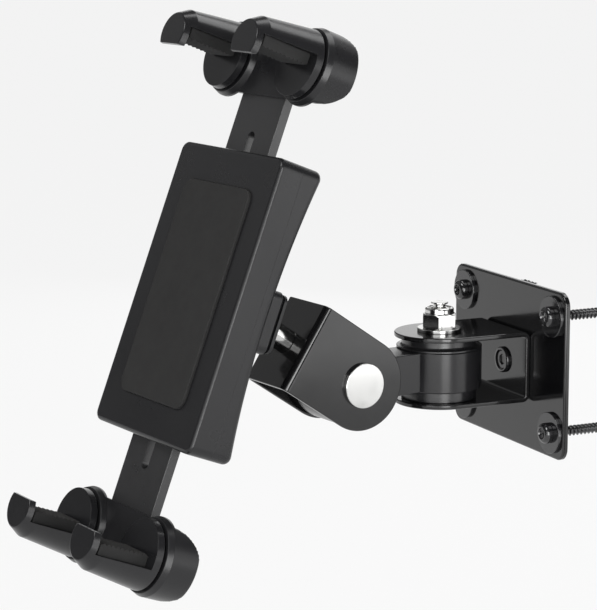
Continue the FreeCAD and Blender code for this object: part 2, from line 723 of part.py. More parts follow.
def finger_grip(x, reach):
    """Soft block on the notch's floor, with saw-tooth ribs on its face."""
    front = finger_tip + hook_thickness + grip_gap
    ribs = int((notch_end - front) / rib_pitch)
    start = (notch_end + front - ribs * rib_pitch) / 2
    valley = notch_floor - grip_thickness + rib_height
    points = [(front, notch_floor), (front, valley)]
    for k in range(ribs):
        at = start + k * rib_pitch
        points += [(at, valley), (at + rib_pitch * 0.5, valley - rib_height)]
    points += [(start + ribs * rib_pitch, valley), (notch_end, valley), (notch_end, notch_floor)]
    corners = []
    for y, z in points:
        corner = Vector(-grip_half_width, y, z)
        if not corners or corner.distanceToPoint(corners[-1]) > 1e-6:
            corners.append(corner)
    grip = Part.Face(Part.makePolygon(corners + corners[:1])).extrude(X_AXIS * 2 * grip_half_width)
    return moved(grip, x, 0, reach)


def finger_screws(reach):
    screw = sunk_screw(finger_screw_radius, finger_screw_length, sunk_head_height)
    return Part.Compound([moved(screw, x, crossbar_back, reach) for x in finger_places()])


def arm_screws(reach):
    length = crossbar_back - arm_front
    screw = sunk_screw(arm_screw_radius, length, sunk_head_height)
    return Part.Compound([moved(screw, x, crossbar_back, reach) for x in (-arm_screw_x, arm_screw_x)])


def claw(name, reach, over):
    """The pieces of one claw; over turns it to the other end of the holder."""
    left, right = finger_places()
    pieces = {
        name + "_arm": claw_arm(reach),
        name + "_crossbar": crossbar(reach),
        name + "_left_finger": finger(left, reach),
        name + "_right_finger": finger(right, reach),
        name + "_left_grip": finger_grip(left, reach),
        name + "_right_grip": finger_grip(right, reach),
        name + "_finger_screws": finger_screws(reach),
        name + "_arm_screws": arm_screws(reach),
    }
    if over:
        swapped = {name + "_left": name + "_right", name + "_right": name + "_left"}
        renamed = {}
        for node, shape in pieces.items():
            for old, new in swapped.items():
                if node.startswith(old):
                    node = new + node[len(old):]
                    break
            renamed[node] = turned_about(shape, Y_AXIS, 180)
        pieces = renamed
    return {node: placed(shape, holder_frame) for node, shape in pieces.items()}


def pivot(name, frame):
    """The pin, bushes, washer and nut of one pivot."""
    return {
        name + "_pin": placed(pivot_pin(), frame),
        name + "_upper_bush": placed(bush(barrel_radius), frame),
        name + "_lower_bush": placed(turned_about(bush(bush_radius), X_AXIS, 180), frame),
        name + "_washer": placed(pivot_washer(), frame),
        name + "_lock_nut": placed(lock_nut(), frame),
        name + "_nut_insert": placed(nut_insert(), frame),
    }


def nodes():
    about_ball = holder_frame * Placement(Vector(0, ball_depth, 0), Rotation())
    made = {
        "wall_plate": wall_plate(),
        "wall_washers": wall_washers(),
        "wall_screws": wall_screws(),
        "swivel_bracket": placed(folded_bracket(), swing_pivot),
        "swivel_bracket_screw": placed(bracket_screw(bracket_sheet + plate_thickness - plate_skin - sliding_gap),
                                       swing_pivot),
        "swivel_link": placed(swivel_link(), arm_frame),
        "tilt_bracket": placed(folded_bracket(), tilt_pivot),
        "ball_stud_screw": placed(bracket_screw(bracket_sheet + stud_thread_depth - 1), tilt_pivot),
        "ball_stud": placed(ball_stud(), tilt_frame),
        "ball_front_seat": placed(front_seat(), about_ball),
        "ball_rear_seat": placed(rear_seat(), about_ball),
        "ball_retainer": placed(ball_retainer(), holder_frame),
        "retainer_screws": placed(retainer_screws(), holder_frame),
        "rear_shell": placed(rear_shell(), holder_frame),
        "front_shell": placed(front_shell(), holder_frame),
        "front_pad": placed(front_pad(), holder_frame),
        "housing_screws": placed(housing_screws(), holder_frame),
        "arm_clamp_screws": placed(arm_clamp_screws(), holder_frame),
    }
    made.update(pivot("swing", swing_pivot))
    made.update(pivot("tilt", tilt_pivot))
    made.update(claw("upper", upper_reach, False))
    made.update(claw("lower", lower_reach, True))
    return made


os.makedirs("parts", exist_ok=True)
for node_name, node_shape in nodes().items():
    if not node_shape.isValid():
        print("not valid:", node_name)
    node_shape.exportStep("parts/" + node_name + ".step")
    print(node_name, len(node_shape.Solids), round(node_shape.Volume, 1))
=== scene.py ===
import json

import bmesh
import bpy
import numpy as np
from mathutils import Matrix


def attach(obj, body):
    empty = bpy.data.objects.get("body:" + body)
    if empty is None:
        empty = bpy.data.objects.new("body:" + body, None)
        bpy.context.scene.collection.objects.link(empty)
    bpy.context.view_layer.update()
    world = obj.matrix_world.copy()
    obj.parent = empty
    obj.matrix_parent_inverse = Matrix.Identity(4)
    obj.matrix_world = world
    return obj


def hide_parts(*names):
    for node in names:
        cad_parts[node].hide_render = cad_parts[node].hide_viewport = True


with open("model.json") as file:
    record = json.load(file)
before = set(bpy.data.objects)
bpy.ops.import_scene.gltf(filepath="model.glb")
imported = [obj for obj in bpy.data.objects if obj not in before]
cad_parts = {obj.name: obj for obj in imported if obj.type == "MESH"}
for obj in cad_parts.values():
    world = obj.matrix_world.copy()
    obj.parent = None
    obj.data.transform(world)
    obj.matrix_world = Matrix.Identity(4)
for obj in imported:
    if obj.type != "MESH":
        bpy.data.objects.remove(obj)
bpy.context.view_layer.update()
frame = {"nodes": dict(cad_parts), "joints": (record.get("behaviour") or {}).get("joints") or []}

# The wall plate is a pressed steel sheet, 3 mm thick, painted gloss black. Its front edge is
# rolled over by the press, and four screws in its corners hold it.


def skin(grid, around=True, ends=False, loop=False):
    """Faces over a grid of points. Each row runs round the piece, and a quad joins two
    neighbours of one row to the same two of the next; ends closes the outer rows flat."""
    rows, across = grid.shape[:2]
    index = np.arange(rows * across).reshape(rows, across)
    faces = [list(range(across)), list(range((rows - 1) * across, rows * across))] if ends else []
    if loop:
        index = np.vstack([index, index[:1]])
    if around:
        index = np.hstack([index, index[:, :1]])
    quads = np.stack([index[:-1, :-1], index[:-1, 1:], index[1:, 1:], index[1:, :-1]], -1)
    return grid.reshape(-1, 3), quads.reshape(-1, 4).tolist() + faces


def joined(shapes):
    """Several shapes as one: their points in a row, each face's numbers moved up by the points before."""
    starts = np.cumsum([0] + [len(points) for points, _ in shapes])
    faces = [[k + int(start) for k in face] for start, (_, found) in zip(starts, shapes) for face in found]
    return np.vstack([points for points, _ in shapes]), faces


def put(shape, place):
    """A shape moved by a place: its points times the turn, plus the offset."""
    points, faces = shape
    return points @ place[:3, :3].T + place[:3, 3], faces


def at(x=0.0, y=0.0, z=0.0):
    """A place that only moves."""
    place = np.eye(4)
    place[:3, 3] = x, y, z
    return place


def plain_mesh(name, shape):
    """A mesh in metres from a shape in millimetres, its doubles merged and its faces outwards."""
    points, faces = shape
    mesh = bpy.data.meshes.new(name)
    mesh.from_pydata((points / 1000).tolist(), [], faces)
    work = bmesh.new()
    work.from_mesh(mesh)
    bmesh.ops.remove_doubles(work, verts=work.verts, dist=2e-6)
    bmesh.ops.dissolve_degenerate(work, edges=work.edges, dist=1e-6)
    bmesh.ops.recalc_face_normals(work, faces=work.faces)
    work.to_mesh(mesh)
    work.free()
    return mesh


def take_out(piece, cutter):
    """Cuts a shape out of a piece, exactly, and leaves the result as the piece's own mesh."""
    tool = bpy.data.objects.new("cutter", plain_mesh("cutter", cutter))
    bpy.context.scene.collection.objects.link(tool)
    step = piece.modifiers.new("cut", "BOOLEAN")
    step.operation, step.solver, step.object = "DIFFERENCE", "EXACT", tool
    bpy.context.view_layer.update()
    cut = bpy.data.meshes.new_from_object(piece.evaluated_get(bpy.context.evaluated_depsgraph_get()))
    piece.modifiers.clear()
    piece.data = cut
    cut.name = piece.name
    bpy.data.objects.remove(tool)


sharp_angle = np.radians(32)


def surfaced(piece, finish):
    """Gives a piece its finish and smooth shading, broken where faces meet past the sharp angle."""
    mesh = piece.data
    mesh.materials.clear()
    mesh.materials.append(finish)
    mesh.shade_smooth()
    mesh.set_sharp_from_angle(angle=sharp_angle)


def made(name, shape, body, nodes, finish, cutter=None, bevel=0.0):
    """One finished piece: its mesh, edges, finish, and the CAD body and nodes it belongs to."""
    piece = bpy.data.objects.new(name, plain_mesh(name, shape))
    bpy.context.scene.collection.objects.link(piece)
    if cutter is not None:
        take_out(piece, cutter)
    surfaced(piece, finish)
    if bevel:
        edge = piece.modifiers.new("edge", "BEVEL")
        edge.width, edge.segments, edge.limit_method = bevel / 1000, 2, "ANGLE"
        edge.angle_limit, edge.harden_normals = sharp_angle, False
        edge.miter_outer = "MITER_ARC"
    normals = piece.modifiers.new("normals", "WEIGHTED_NORMAL")
    normals.keep_sharp, normals.weight = True, 60
    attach(piece, body)
    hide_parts(*nodes)
    return piece


def arc(radius, start, end, steps):
    """Points of a circle between two angles in degrees: radius times cosine and sine."""
    angle = np.radians(np.linspace(start, end, steps))
    return np.stack([np.cos(angle), np.sin(angle)], -1) * radius


def rectangle(width, height, corner, rows=2):
    """The right half of a rounded rectangle, from its lowest corner to its highest: two quarter
    circles with a straight side between them; an inset makes all of it smaller."""
    def half(inset):
        turn = max(corner - inset, 0.05)
        x, z = width / 2 - inset - turn, height / 2 - inset - turn
        side = np.stack([np.full(rows, x + turn), np.linspace(-z, z, rows + 2)[1:-1]], -1)
        return np.vstack([arc(turn, -90, 0, 9) + (x, -z), side, arc(turn, 0, 90, 9) + (x, z)])
    return half


def edge_round(radius, depth, inwards, steps=6):
    """Levels of a quarter-round edge, as (inset, depth): it ends flat at the given depth."""
    angle = np.radians(np.linspace(0, 90, steps))
    return list(zip(radius * (1 - np.cos(angle)), depth - inwards * radius * (1 - np.sin(angle))))


def slab(half, levels):
    """The closed skin of a plate. Each level is the outline at one inset and depth, made of the
    right half and its mirror image, and strips from half to half close the outer levels."""
    rows = []
    for inset, depth in levels:
        right = half(inset)
        loop = np.vstack([right, right[::-1] * (-1, 1)])
        y = depth(loop[:, 1]) if callable(depth) else np.full(len(loop), depth)
        rows.append(np.stack([loop[:, 0], y, loop[:, 1]], -1))
    grid = np.stack(rows)
    middle = grid.shape[1] // 2
    caps = [skin(np.stack([row[:middle], row[:middle - 1:-1]], 1), around=False)
            for row in (grid[0], grid[-1])]
    return joined([skin(grid)] + caps)


def node(tree, kind, inputs=(), **settings):
    """A shader node with its settings, and its inputs given as values or as other sockets."""
    new = tree.nodes.new(kind)
    for key, value in settings.items():
        setattr(new, key, value)
    for key, value in dict(inputs).items():
        if isinstance(value, bpy.types.NodeSocket):
            tree.links.new(value, new.inputs[key])
        else:
            new.inputs[key].default_value = value
    return new


def effect(name, inputs, outputs):
    """An empty shader node group with named inputs (socket kind and value) and outputs."""
    tree = bpy.data.node_groups.new(name, "ShaderNodeTree")
    for label, (kind, value) in inputs.items():
        tree.interface.new_socket(label, in_out="INPUT", socket_type=kind).default_value = value
    for label, kind in outputs.items():
        tree.interface.new_socket(label, in_out="OUTPUT", socket_type=kind)
    return tree, tree.nodes.new("NodeGroupInput").outputs, tree.nodes.new("NodeGroupOutput").inputs


NUMBER, COLOUR, VECTOR = "NodeSocketFloat", "NodeSocketColor", "NodeSocketVector"

# Surface texture: fine noise as relief, and broad cloudy noise that makes some places duller.
texture, given, wanted = effect(
    "surface_texture",
    {"Grain": (NUMBER, 900.0), "Relief": (NUMBER, 0.2), "Depth": (NUMBER, 0.00002), "Smooth": (NUMBER, 0.25),
     "Dull": (NUMBER, 0.35), "Patches": (NUMBER, 45.0)},
    {"Roughness": NUMBER, "Normal": VECTOR})
place = node(texture, "ShaderNodeTexCoord").outputs["Object"]
fine = node(texture, "ShaderNodeTexNoise", {"Vector": place, "Scale": given["Grain"], "Detail": 3.0})
broad = node(texture, "ShaderNodeTexNoise", {"Vector": place, "Scale": given["Patches"], "Detail": 5.0,
                                             "Roughness": 0.6})
ramp = node(texture, "ShaderNodeMapRange", {"Value": broad.outputs[0], "From Min": 0.35, "From Max": 0.68,
                                            "To Min": given["Smooth"], "To Max": given["Dull"]})
relief = node(texture, "ShaderNodeBump", {"Height": fine.outputs[0], "Strength": given["Relief"],
                                          "Distance": given["Depth"]})
texture.links.new(ramp.outputs["Result"], wanted["Roughness"])
texture.links.new(relief.outputs["Normal"], wanted["Normal"])

# Dust film: a thin grey film that gathers on what faces up, broken up by noise.
film, given, wanted = effect(
    "dust_film", {"Colour": (COLOUR, (0.03, 0.03, 0.03, 1)), "Dust": (COLOUR, (0.2, 0.19, 0.18, 1)),
                  "Amount": (NUMBER, 0.05)}, {"Colour": COLOUR})
up = node(film, "ShaderNodeSeparateXYZ", {0: node(film, "ShaderNodeNewGeometry").outputs["Normal"]})
high = node(film, "ShaderNodeMapRange", {"Value": up.outputs["Z"], "From Min": -0.2, "From Max": 0.9})
specks = node(film, "ShaderNodeTexNoise", {"Vector": node(film, "ShaderNodeTexCoord").outputs["Object"],
                                           "Scale": 160.0, "Detail": 8.0, "Roughness": 0.7})
thick = node(film, "ShaderNodeMath", {0: high.outputs["Result"], 1: specks.outputs[0]}, operation="MULTIPLY")
share = node(film, "ShaderNodeMath", {0: thick.outputs[0], 1: given["Amount"]}, operation="MULTIPLY")
blend = node(film, "ShaderNodeMix", data_type="RGBA")
for socket, value in ((0, share.outputs[0]), (6, given["Colour"]), (7, given["Dust"])):
    film.links.new(value, blend.inputs[socket])
film.links.new(blend.outputs[2], wanted["Colour"])


def finish_of(name, colour, metal=0.0, dust=0.05, shine=0.5, **surface):
    """A material: one Principled shader that takes its roughness and relief from the surface
    texture and its colour from the dust film."""
    material = bpy.data.materials.new(name)
    material.use_nodes = True
    tree = material.node_tree
    shader = tree.nodes["Principled BSDF"]
    look = node(tree, "ShaderNodeGroup", node_tree=texture)
    for key, value in surface.items():
        look.inputs[key.capitalize()].default_value = value
    grey = node(tree, "ShaderNodeGroup", node_tree=film)
    grey.inputs["Colour"].default_value = (*colour, 1)
    grey.inputs["Amount"].default_value = dust
    tree.links.new(grey.outputs["Colour"], shader.inputs["Base Color"])
    tree.links.new(look.outputs["Roughness"], shader.inputs["Roughness"])
    tree.links.new(look.outputs["Normal"], shader.inputs["Normal"])
    shader.inputs["Metallic"].default_value = metal
    shader.inputs["Specular IOR Level"].default_value = shine
    return material


gloss_black = finish_of("gloss_black_paint", (0.004, 0.004, 0.0044), dust=0.01, shine=0.6, grain=420.0,
                        relief=0.06, depth=0.00002, smooth=0.1, dull=0.15)
made("painted_wall_plate", slab(rectangle(118, 89, 7), [(0.3, 0.0), (0.0, -0.3), (0.0, -2.2)]
                                + edge_round(1.1, -3.0, -1, 7)),
     "wall_bracket", ["wall_plate"], gloss_black)

# Four washers and four wall screws hold the plate. They are blackened steel, the washers
# stamped with a small roll-over at the rim, the screws cold-headed with a cross recess.
black_oxide = finish_of("blackened_steel", (0.012, 0.012, 0.013), metal=0.2, dust=0.01, shine=1.0,
                        grain=1500.0, relief=0.05, depth=0.00002, smooth=0.07, dull=0.13)


def rounded(points, radius, steps=5):
    """A line of points with its inner corners rounded: each corner gives way to an arc that
    touches both of its sides, swept from one touching point to the other."""
    points = np.array(points, float)
    radius = np.broadcast_to(np.asarray(radius, float), len(points) - 2)[:, None]
    corner = points[1:-1]
    back, on = points[:-2] - corner, points[2:] - corner
    back, on = (v / np.linalg.norm(v, axis=1, keepdims=True) for v in (back, on))
    half = np.arccos(np.clip((back * on).sum(1, keepdims=True), -0.99999, 0.99999)) / 2
    middle = corner + (back + on) / np.maximum(2 * np.cos(half), 1e-6) * radius / np.sin(half)
    first, last = (corner + side * radius / np.tan(half) - middle for side in (back, on))
    sweep = (np.pi - 2 * half)[:, None]
    share = np.linspace(0, 1, steps)[None, :, None]
    turn = np.sin((1 - share) * sweep) * first[:, None] + np.sin(share * sweep) * last[:, None]
    turn = middle[:, None] + turn / np.sin(sweep)
    return np.vstack([points[:1], turn.reshape(-1, 2), points[-1:]])


def rings(radius, height, angle):
    """Points of rings about Z: the radius times cosine and sine of each angle, at the height."""
    return np.stack(np.broadcast_arrays(radius * np.cos(angle), radius * np.sin(angle), height), -1)


def turned(profile, sides=96, loop=False):
    """A turned piece about Z: each (radius, height) of the profile goes round a full circle."""
    angle = np.linspace(0, 2 * np.pi, sides, endpoint=False)
    radius, height = np.asarray(profile, float).T[:, :, None]
    return skin(rings(radius, height, angle), loop=loop)


facing = np.array([[1, 0, 0, 0], [0, 0, -1, 0], [0, 1, 0, 0], [0, 0, 0, 1.0]])
screw_places = [at(x, -3, z) @ facing for x in (-46.5, 46.5) for z in (-31, 31)]
washer_top = 1.8
washer = turned(rounded([(3.2, 0.02), (11.0, 0.02), (11.0, washer_top), (3.2, washer_top)], [0.1, 0.35]),
                loop=True)
made("wall_screw_washers", joined([put(washer, place) for place in screw_places]), "wall_bracket",
     ["wall_washers"], black_oxide)


def cross(size, depth):
    """A cross recess that narrows to the bottom: two crossed bars, each a stack of four-cornered
    loops whose length and width shrink with depth."""
    corners = np.array([(-1, -1), (1, -1), (1, 1), (-1, 1)], float)
    levels = np.array([(1.12, 0.26, 1.0), (1.0, 0.22, 0.0), (0.45, 0.16, -depth)])
    loops = corners[None] * levels[:, None, :2] * size
    one = np.concatenate([loops, np.broadcast_to(levels[:, None, 2:], (3, 4, 1))], -1)
    two = one[:, :, [1, 0, 2]]
    return [skin(one, ends=True), skin(two, ends=True)]


def thread(radius, core, start, end, tip, pitch, sides=28):
    """A wood screw's thread: the radius is the core's, plus a narrow ridge wherever the height,
    less one pitch for each turn round, is near a whole number of pitches. It fades out at the
    start, and past the end both shrink evenly to a point."""
    height = np.arange(start, tip, -pitch / 9)[:, None]
    angle = np.linspace(0, 2 * np.pi, sides, endpoint=False)[None]
    phase = np.mod(height / pitch - angle / (2 * np.pi), 1) - 0.5
    ridge = np.clip(1 - np.abs(phase) * 3.2, 0, 1) * np.clip((start - height) / pitch, 0, 1)
    narrow = np.clip((height - tip) / (end - tip), 0.02, 1)
    wide = (core + (radius - core) * ridge) * narrow
    return skin(rings(wide, height, angle), ends=True)


head = turned(rounded([(0, 0), (5.5, 0), (5.5, 4.15), (2.95, 4.15), (2.65, 3.35), (0, 3.35)],
                      [0.3, 2.4, 0.12, 0.2], 9), sides=72)
neck = turned(rounded([(0, -6.6), (2.0, -6.6), (2.5, -5.8), (2.5, 0.1), (0, 0.1)], [0.1, 0.3, 0.05]),
              sides=48)
shank = joined([neck, thread(2.88, 2.0, -5.7, -40.0, -47.8, 2.3)])
recess_top = washer_top + 3.37
heads = [put(head, place @ at(z=washer_top)) for place in screw_places]
shanks = [put(shank, place @ at(z=washer_top)) for place in screw_places]
recesses = [put(bar, place @ at(z=recess_top)) for place in screw_places for bar in cross(2.6, 2.2)]
wall_screws = made("cross_recess_wall_screws", joined(heads), "wall_bracket", ["wall_screws"],
                   black_oxide, cutter=joined(recesses[0::2]))
take_out(wall_screws, joined(recesses[1::2]))
surfaced(wall_screws, black_oxide)
made("wall_screw_shanks", joined(shanks), "wall_bracket", [], black_oxide)

# The swivel bracket is folded from 2.5 mm steel sheet: a web with two round-ended flanges.
# It is painted with the plate, and a button-head screw through its web holds it there.
joints = {joint["name"]: joint for joint in frame["joints"]}


def frame_at(origin, x, y, z):
    """A place from its origin in metres and the directions of its three axes."""
    place = np.eye(4)
    place[:3, :3] = np.stack([x, y, z], -1)
    place[:3, 3] = np.array(origin) * 1000
    return place


swing_point = np.array(joints["swing"]["pos_m"])
swing_pivot = frame_at(swing_point, (1, 0, 0), (0, 1, 0), (0, 0, 1))


half_width, pivot_run = 24, 57.448
fold_start, fold_radius, fold_depth = 15.3, 2.45, 38.3


def strip(inset):
    """The right half of the flat sheet before folding: a round end about each pivot line, and a
    straight side between them, which has more points where the folds come."""
    run = np.array([pivot_run, 38, 19.148, 18.6, 18.0, 17.4, 16.8, 16.2, 15.7, fold_start, 5])
    side = np.stack([np.full(2 * len(run), half_width - inset), np.concatenate([-run, run[::-1]])], -1)
    turn = arc(half_width - inset, 0, 90, 25)
    return np.vstack([turn[::-1] * (1, -1) + (0, -pivot_run), side[1:-1], turn + (0, pivot_run)])


def folded(shape):
    """The fold: a point at distance s along the sheet and h above its middle goes straight up to
    the fold's start, then round a quarter circle of the fold's radius plus h, then straight back."""
    points, faces = shape
    x, h, s = points.T
    turn = np.clip((np.abs(s) - fold_start) / fold_radius, 0, np.pi / 2)
    rest = np.maximum(np.abs(s) - fold_start - fold_radius * np.pi / 2, 0)
    y = fold_depth + (fold_radius + h) * np.cos(turn) - rest
    z = np.sign(s) * (np.minimum(np.abs(s), fold_start) + (fold_radius + h) * np.sin(turn))
    return np.stack([x, y, z], -1), faces


bracket = folded(slab(strip, edge_round(0.65, -1.25, -1, 6)[::-1] + edge_round(0.65, 1.25, 1, 6)))
made("folded_swivel_bracket", put(bracket, swing_pivot), "wall_bracket", ["swivel_bracket"],
     gloss_black)

# A blackened steel screw with a low round head and a hexagon socket fixes the bracket's web to
# the wall plate. It is put in from inside the bracket.


def six_sided(flat, angle):
    """Radius of a hexagon at an angle: half its width across flats over the cosine of the angle
    from the nearest flat."""
    return flat / 2 / np.cos(np.mod(angle + np.pi / 6, np.pi / 3) - np.pi / 6)


def socket_screw(profile, height, flat, depth, sides=72):
    """A turned screw whose middle turns into a hexagon socket: round rows from the profile,
    then six-sided rows down to the socket's floor."""
    angle = np.linspace(0, 2 * np.pi, sides, endpoint=False)
    radius, level = np.asarray(profile, float).T[:, :, None]
    radius = np.broadcast_to(radius, (len(level), sides))
    level = np.broadcast_to(level, radius.shape)
    six = six_sided(flat, angle)[None]
    wide = np.vstack([radius, six + 0.25, six, six, six * 0.0])
    high = np.vstack([level, np.full((1, sides), height), np.full((1, sides), height - 0.2),
                      np.full((1, sides), height - depth), np.full((1, sides), height - depth - 0.4)])
    return skin(rings(wide, high, angle))


def button(shank):
    """A low-headed screw: its shank, a low rounded rim, the face dished inside it, and the socket."""
    rim = rounded([(7.0, 0.15), (7.0, 1.6), (5.6, 1.75), (4.6, 0.9)], [0.7, 0.25], 8)
    start = [(0, -shank), (3.7, -shank), (4.0, -shank + 0.3), (4.0, 0), (6.85, 0)]
    return socket_screw(np.vstack([start, rim]), 0.9, 5.0, 0.8)


web_inside = 39.5
made("swivel_bracket_button_screw", put(button(4.8), swing_pivot @ at(y=web_inside) @ facing),
     "wall_bracket", ["swivel_bracket_screw"], black_oxide)

# The swivel link is moulded in glass-filled black plastic: an upright barrel, a lying barrel
# and a square bar between them, with a fine spark-eroded grain from the mould.
moulded_black = finish_of("moulded_black_plastic", (0.01, 0.01, 0.011), dust=0.015, shine=0.42, grain=2600.0,
                          relief=0.2, depth=0.00002, smooth=0.2, dull=0.27, patches=30.0)
tilt_point = np.array(joints["tilt"]["pos_m"])
back = (swing_point - tilt_point) / np.linalg.norm(swing_point - tilt_point)
arm = frame_at(swing_point, np.cross(back, (0, 0, 1)), back, (0, 0, 1))
across = np.array([[0, 0, 1, 0], [1, 0, 0, 0], [0, 1, 0, 0], [0, 0, 0, 1.0]])
barrel_bore, barrel_radius, half_height, link_length = 8.05, 22.8, 10.8, 62
barrel = turned(rounded([(barrel_bore, -half_height), (barrel_radius, -half_height),
                         (barrel_radius, half_height), (barrel_bore, half_height)], 0.8, 6),
                sides=144, loop=True)
bar = slab(rectangle(2 * half_height, 2 * half_height, 0.8), [(0.0, 8.5), (0.0, 53.5)])
bar = (bar[0] * (1, -1, 1), bar[1])
link = joined([put(barrel, arm), put(bar, arm), put(barrel, arm @ at(y=-link_length) @ across)])
made("moulded_swivel_link", link, "swing_arm", ["swivel_link"], moulded_black)

# The upright pivot: two moulded friction bushes, a polished pin whose flat head is below, and
# above the bracket a washer and a lock nut with a plastic ring. The nut sets the friction.
bush_black = finish_of("moulded_bush_plastic", (0.01, 0.01, 0.011), dust=0.02, shine=0.7, grain=1900.0,
                       relief=0.2, depth=0.00002, smooth=0.2, dull=0.3)
polished = finish_of("polished_steel", (0.6, 0.6, 0.59), metal=1.0, dust=0.01, grain=260.0, relief=0.02,
                     depth=0.00002, smooth=0.12, dull=0.2, patches=90.0)
nylon = finish_of("nylon_ring", (0.72, 0.71, 0.66), dust=0.15, shine=0.4, grain=1500.0, relief=0.2,
                  depth=0.00001, smooth=0.4, dull=0.55)


neck_radius = 20.0


def bush(lip):
    """A friction bush: a spigot, a lip, and the neck above it. A lip wider than the neck ends in
    a thin upright rim, and a hollow curve leads from there to the neck."""
    spigot = [(5.1, 3.05), (8.0, 3.05), (8.0, 10.86), (lip, 10.86)]
    top = [(neck_radius, 16.45), (5.1, 16.45)]
    if lip == neck_radius:
        return turned(rounded(spigot + top, [0.3, 0.1, 0.25, 0.4]), sides=144, loop=True)
    angle = np.radians(np.linspace(0, 90, 7))
    curve = np.stack([20 + (lip - 20.6) * (1 - np.sin(angle)), 13.5 - 1.6 * np.cos(angle)], -1).tolist()
    line = rounded(spigot + [(lip, 11.8)] + curve[:2], [0.3, 0.1, 0.25, 0.25, 0.1])
    return turned(np.vstack([line[:-1], curve[1:], top, top[1:]]), sides=144, loop=True)


def lock_nut(sides=144):
    """Hexagon nut: six-sided rows up to a chamfer that dips at each corner, then a round collar
    that is rolled in over the ring."""
    angle = np.linspace(0, 2 * np.pi, sides, endpoint=False)
    low, top, end, flat = 21.0, 28.6, 32.0, 17.0
    six = six_sided(flat, angle)
    dip = (six - flat / 2) * np.tan(np.radians(30))
    roll = rounded([(7.7, 29.4), (7.7, end - 0.3), (6.3, end), (5.9, end - 0.5)], [1.3, 0.25], 7)
    rows = [(5.1, low), (np.minimum(six, 8.9), low), (six, low + dip), (six, top - dip - 0.15),
            (six * 0.2 + 8.35 * 0.8, top - dip * 0.25), (8.3, top), (7.95, top + 0.02), (7.75, top + 0.3),
            (7.7, top + 0.8), *roll[1:], (5.9, end - 2.6), (5.1, end - 2.6)]
    wide, high = (np.stack([np.broadcast_to(row[k], sides) for row in rows]) for k in (0, 1))
    return skin(rings(wide, high, angle), loop=True)


pin = turned(rounded([(0, -21.2), (11.7, -21.2), (11.7, -19.02), (5.0, -19.02), (5.0, 31.6), (3.3, 32.3),
                      (3.3, 33.5), (4.6, 33.9), (4.6, 34.7), (0, 34.7)],
                     [0.45, 0.3, 0.05, 0.2, 0.1, 0.1, 0.15, 0.35]), sides=128)
pivot_washer = turned(rounded([(5.1, 19.02), (11.7, 19.02), (11.7, 20.98), (5.1, 20.98)], [0.2, 0.45]),
                      sides=128, loop=True)
nut_ring = turned(rounded([(5.05, 29.0), (5.85, 29.0), (5.85, 31.25), (5.05, 31.25)], 0.15),
                  sides=64, loop=True)
upside_down = np.diag([1.0, -1.0, -1.0, 1.0])


def pivot(name, place, body):
    """One pivot's hardware at its place, the plain bush upside down on the other side."""
    for piece, shape, cad, slot, finish in (
            ("flared_bush", put(bush(barrel_radius), place), "upper_bush", "bush_plastic", bush_black),
            ("plain_bush", put(bush(neck_radius), place @ upside_down), "lower_bush", "bush_plastic",
             bush_black),
            ("polished_pin", put(pin, place), "pin", "polished_steel", polished),
            ("polished_washer", put(pivot_washer, place), "washer", "polished_steel", polished),
            ("collar_lock_nut", put(lock_nut(), place), "lock_nut", "polished_steel", polished),
            ("nylon_ring", put(nut_ring, place), "nut_insert", "insert_plastic", nylon)):
        made(name + "_" + piece, shape, body, [name + "_" + cad], finish)


pivot("swing", swing_pivot, "wall_bracket")

# The tilt bracket is the same folded part, lying on its side on the link's other barrel. Its
# web faces the holder, and a screw from inside it holds the ball stud.
ball_point = np.array(joints["ball_nod"]["pos_m"])
back = (tilt_point - ball_point) / np.linalg.norm(tilt_point - ball_point)
right = -np.array(joints["tilt"]["axis"])
head_frame = frame_at(tilt_point, right, back, np.cross(right, back))
lying = np.array([[0, 0, -1, 0], [0, -1, 0, 0], [-1, 0, 0, 0], [0, 0, 0, 1.0]])
tilt_pivot = head_frame @ lying
made("folded_tilt_bracket", put(bracket, tilt_pivot), "tilt_head", ["tilt_bracket"],
     gloss_black)
made("ball_stud_button_screw", put(button(13.5), tilt_pivot @ at(y=web_inside) @ facing), "tilt_head",
     ["ball_stud_screw"], black_oxide)
pivot("tilt", tilt_pivot, "tilt_head")

# The ball stud is turned from steel bar and polished: a plain neck and a ball on its end. The
# screw in the tilt bracket's web holds it by the foot of its neck.
ball_radius, neck_half, foot = 11, 6.8, 28.0
angle = np.radians(np.linspace(38.2, 180, 30))
ball = np.stack([ball_radius * np.sin(angle), ball_radius * np.cos(angle)], -1)
stem = rounded([(0, foot), (neck_half, foot), (neck_half, 10.5), (neck_half, 8.646)], [0.5, 0.3])[:-2]
stud = turned(np.vstack([stem, ball]), sides=128)
outwards = np.array([[1, 0, 0, 0], [0, 0, 1, 0], [0, -1, 0, 0], [0, 0, 0, 1.0]])
made("polished_ball_stud", put(stud, head_frame @ at(y=-70) @ outwards), "tilt_head", ["ball_stud"],
     polished)

